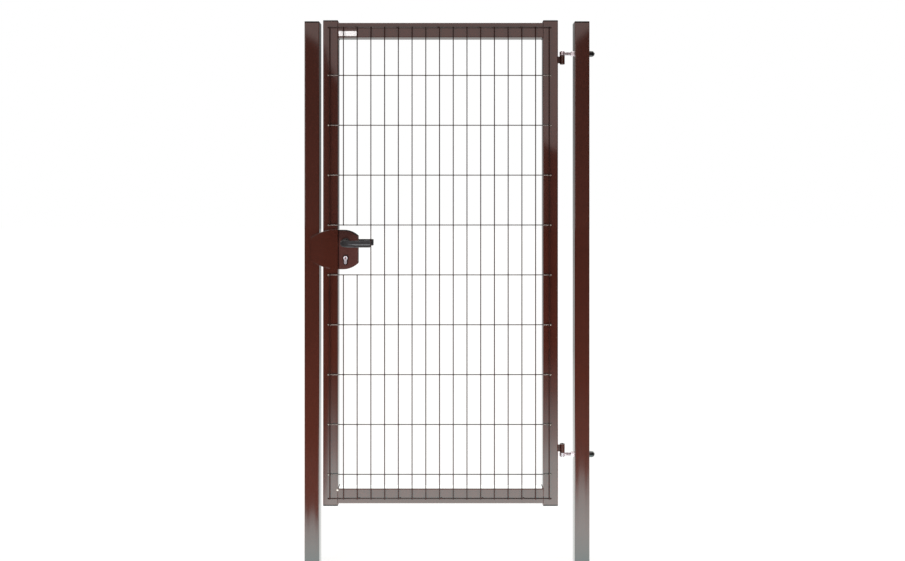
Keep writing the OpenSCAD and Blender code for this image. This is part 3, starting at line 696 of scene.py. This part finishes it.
# ---------------------------------------------------------------- threads of the eye bolts
EYE_D = 0.022
THREAD_INSET = 0.001                            # beyond the eye, and into the nut
THREAD_PITCH, THREAD_SIDES = 0.00175, 24
THREAD_SECTION = ((-0.00088, 0.0058), (-0.00088, 0.00605), (-0.0001, 0.00618), (0.0001, 0.00618),
                  (0.00088, 0.00605), (0.00088, 0.0058))        # along the bolt, radius


def bolt_threads():
    """Helix on the bare stretch of each eye bolt, between its eye and its inner nut."""
    bm = bmesh.new()
    for part, nut in (("upper_eye_bolt", "upper_inner_nut"), ("lower_eye_bolt", "lower_inner_nut")):
        low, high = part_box(part)
        start, end = low.x + EYE_D + THREAD_INSET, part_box(nut)[0].x + THREAD_INSET
        centre = Vector((0, 0, (low.z + high.z) / 2))
        steps = round((end - start) / THREAD_PITCH) * THREAD_SIDES
        rows = []
        for i in range(steps + 1):
            t = 2 * math.pi * i / THREAD_SIDES
            x = start + (end - start) * i / steps
            rows.append([bm.verts.new(centre + Vector((x + dx, r * math.cos(t), r * math.sin(t))))
                         for dx, r in THREAD_SECTION])
        skin(bm, rows)
    piece("bolt_threads", bm, [THREAD_ZINC], "posts")


bolt_threads()


# ---------------------------------------------------------------- floor
FLOOR_HALF = 40
PART_SIDE = 0.143        # side beyond which a reflection is a post's and not the leaf's
# Half the distance over which the reflected floor darkens, by side, which is X over the distance from the
# camera
FLOOR_EDGE = [
    (-0.1665, 0.25), (-0.1622, 0.28), (-0.1605, 0.235), (-0.1585, 0.28), (-0.1535, 0.285), (-0.1515, 0.24),
    (-0.146, 0.25), (-0.1455, 0.36), (-0.1384, 0.45), (-0.1368, 0.7), (-0.1285, 0.7), (-0.1265, 0.52),
    (0.1, 0.58), (0.11, 0.78), (0.128, 0.8), (0.146, 0.44), (0.1498, 0.44), (0.1515, 0.54), (0.1575, 0.54),
    (0.1595, 0.41), (0.1615, 0.54), (0.17, 0.5)]
# Its brightness in the leaf and in the posts, by the share of the whole distance
LEAF_FALL = [(0.0, 0.93), (0.27, 0.915), (0.92, 0.73), (1.02, 0.65), (1.24, 0.43), (2.06, 0.12),
             (2.88, 0.03), (3.5, 0.01)]
POST_FALL = [(0.0, 0.93), (0.2, 0.92), (0.45, 0.87), (0.574, 0.81), (0.706, 0.76), (0.847, 0.67),
             (0.96, 0.54), (1.08, 0.42), (1.25, 0.18), (1.425, 0.085), (1.72, 0.05), (2.6, 0.04),
             (3.5, 0.015)]
# And its brightness behind the gate, by the distance
BEHIND_FALL = [(0.0, 0.95), (1.6, 0.85), (5.0, 0.45), (20.0, 0.36)]


def floor_glow(n, place):
    """Brightness and tint of the floor as a reflection shows it."""
    depth = n.math("MULTIPLY", place["Y"], -1.0)
    side = n.math("DIVIDE", n.math("SUBTRACT", place["X"], CAMERA_AT.x),
                  n.math("ADD", depth, FRONT_Y - CAMERA_AT.y))
    off_side = n.math("ABSOLUTE", side)
    reach = n.math("DIVIDE", depth, n.math("MULTIPLY", 2.0, n.curve(side, -0.2, 0.2, FLOOR_EDGE)))
    card = n.mix(n.ramp(off_side, PART_SIDE - 0.0005, PART_SIDE + 0.0005),
                 n.curve(reach, 0.0, 4.0, LEAF_FALL), n.curve(reach, 0.0, 4.0, POST_FALL))
    card = n.math("MULTIPLY", card, n.ramp(off_side, 0.2, 0.45, 2.0, 0.2))
    behind = n.curve(place["Y"], 0.0, 20.0, BEHIND_FALL)
    front_tint = n.mix(n.ramp(off_side, 0.18, 0.24), (0.79, 0.99, 0.98, 1), (0.96, 0.95, 0.94, 1))
    tint = n.mix(n.ramp(place["Y"], -0.05, 0.05), front_tint, (0.97, 1.0, 0.98, 1))
    return n.ramp(place["Y"], -0.05, 0.05, card, behind), tint


def floor_finish():
    """White with soft shadows to the camera, a glow to glossy rays, and light grey to the rest."""
    mat = bpy.data.materials.new("floor")
    mat.use_nodes = True
    n = Nodes(mat.node_tree)
    path = n.add("LightPath")
    white = n.add("Emission", Color=(1, 1, 1, 1), Strength=0.7)
    seen = n.add("AddShader", i0=white, i1=n.add("BsdfDiffuse", Color=(0.4, 0.4, 0.4, 1)))
    glow, tint = floor_glow(n, n.split(n.add("TexCoord").outputs["Object"]))
    mirrored = n.add("Emission", Color=tint, Strength=glow)
    lit = n.add("BsdfDiffuse", Color=(0.6, 0.6, 0.6, 1))
    other = n.add("MixShader", Fac=path.outputs["Is Glossy Ray"], i1=lit, i2=mirrored)
    final = n.add("MixShader", Fac=path.outputs["Is Camera Ray"], i1=other, i2=seen)
    n.add("OutputMaterial", Surface=final)
    return mat


def floor_plane():
    corners = [Vector((x * FLOOR_HALF, y * FLOOR_HALF, 0)) for x, y in ((-1, -1), (1, -1), (1, 1), (-1, 1))]
    mesh = bpy.data.meshes.new("floor")
    mesh.from_pydata(corners, [], [(0, 1, 2, 3)])
    mesh.materials.append(floor_finish())
    obj = bpy.data.objects.new("floor", mesh)
    scene.collection.objects.link(obj)


floor_plane()


# ---------------------------------------------------------------- background
# Height over distance at which the dark part in front of the gate ends, by side
FRONT_EDGE = [
    (-0.2, 0.2), (-0.166, 0.193), (-0.149, 0.181), (-0.142, 0.176), (-0.1376, 0.158), (-0.127, 0.137),
    (0.105, 0.13), (0.11, 0.066), (0.128, 0.056), (0.146, 0.182), (0.166, 0.199), (0.2, 0.2)]
# Brightness by height in front of the gate, above that edge, and behind the gate, and of a strip by side
FRONT_LEVEL = [(0.0, 0.55), (0.24, 0.55), (0.32, 0.12), (0.6, 0.12), (0.75, 0.65)]
BACK_LEVEL = [(-0.1, 0.09), (-0.03, 0.09), (0.15, 0.05), (0.24, 0.075), (0.29, 0.4), (0.31, 0.8), (0.4, 0.8),
              (0.7, 0.4)]
STRIP_LEVEL = [(-0.46, 0.0), (-0.42, 1.0), (-0.24, 1.0), (-0.2, 0.0)]


def front_level(n, way, mirror):
    """Level in front of the gate: dark up to an edge, and lit above it.

    Glossy rays also find the far sides dark and a bright strip on the left.
    """
    ahead = n.math("MAXIMUM", n.math("MULTIPLY", way["Y"], -1.0), 0.001)
    side = n.math("DIVIDE", way["X"], ahead)
    edge = n.curve(side, -0.2, 0.2, FRONT_EDGE)
    high = n.curve(way["Z"], 0.0, 1.0, FRONT_LEVEL)
    front = n.ramp(n.math("SUBTRACT", n.math("DIVIDE", way["Z"], ahead), edge), -0.005, 0.005, 0.055, high)
    shade = n.math("MULTIPLY", mirror, n.ramp(n.math("ABSOLUTE", side), 0.3, 0.7, 0.0, 0.85))
    front = n.math("MULTIPLY", front, n.math("SUBTRACT", 1.0, shade))
    strip = n.curve(side, -1.0, 0.0, STRIP_LEVEL)
    return n.math("MAXIMUM", front, n.math("MULTIPLY", strip, n.math("MULTIPLY", mirror, 2.2)))


def back_level(n, way, mirror):
    """Level behind the gate: bright higher up, darker low on the right, and calmer for diffuse rays."""
    low_right = n.math("MULTIPLY", n.ramp(way["X"], -0.12, 0.12), n.ramp(way["Z"], 0.28, 0.2, 0.0, 0.35))
    back = n.math("MULTIPLY", 4.0, n.curve(way["Z"], -0.1, 0.7, BACK_LEVEL))
    back = n.math("MULTIPLY", back, n.math("SUBTRACT", 1.0, low_right))
    calm = n.math("MULTIPLY", n.ramp(way["Z"], 0.26, 0.3, 0.0, 0.75), n.math("SUBTRACT", 1.0, mirror))
    return n.math("MULTIPLY", back, n.math("SUBTRACT", 1.0, calm))


def studio():
    """White to the camera, and a studio to all other rays.

    Diffuse rays get it at twice the level, and glossy ones with a bright ceiling.
    """
    world = bpy.data.worlds.new("studio")
    world.use_nodes = True
    n = Nodes(world.node_tree)
    way = n.split(n.add("TexCoord").outputs["Generated"])
    path = n.add("LightPath")
    mirror, seen = path.outputs["Is Glossy Ray"], path.outputs["Is Camera Ray"]
    level = n.ramp(way["Y"], -0.3, 0.3, front_level(n, way, mirror), back_level(n, way, mirror))
    level = n.math("ADD", level, n.math("MULTIPLY", mirror, n.ramp(way["Z"], 0.8, 0.93, 0.0, 0.6)))
    level = n.math("MULTIPLY", level, n.math("SUBTRACT", 2.0, mirror))
    tint = n.mix(n.ramp(way["Y"], -0.3, 0.3), (1.0, 0.9, 0.865, 1), (0.97, 1.0, 0.98, 1))
    colour = n.mix(seen, tint, (1, 1, 1, 1))
    strength = n.math("MAXIMUM", level, seen)
    n.add("OutputWorld", Surface=n.add("Background", Color=colour, Strength=strength))
    return world


scene.world = studio()


# ---------------------------------------------------------------- lamps
def lamp(name, at, look_at, size, radiance):
    """Soft panel of the given radiance, which neither the camera nor a reflection shows."""
    light = bpy.data.lights.new(name, "AREA")
    light.shape = "RECTANGLE"
    light.size, light.size_y = size
    light.energy = radiance * math.pi * size[0] * size[1]
    obj = bpy.data.objects.new(name, light)
    scene.collection.objects.link(obj)
    obj.location = at
    obj.rotation_euler = (Vector(look_at) - Vector(at)).to_track_quat("-Z", "Y").to_euler()
    obj.visible_camera = obj.visible_glossy = False


MIDDLE = Vector((-0.54, 0, 1.1))
lamp("left_panel", (-3.8, -3.0, 0.6), MIDDLE, (2.2, 1.8), 4.6)
lamp("right_panel", (3.2, -3.4, 1.3), MIDDLE, (1.6, 1.8), 1.0)
lamp("floor_panel", (-0.54, -0.85, 0.02), (-0.54, -0.85, 1.0), (3.4, 1.35), 5.0)
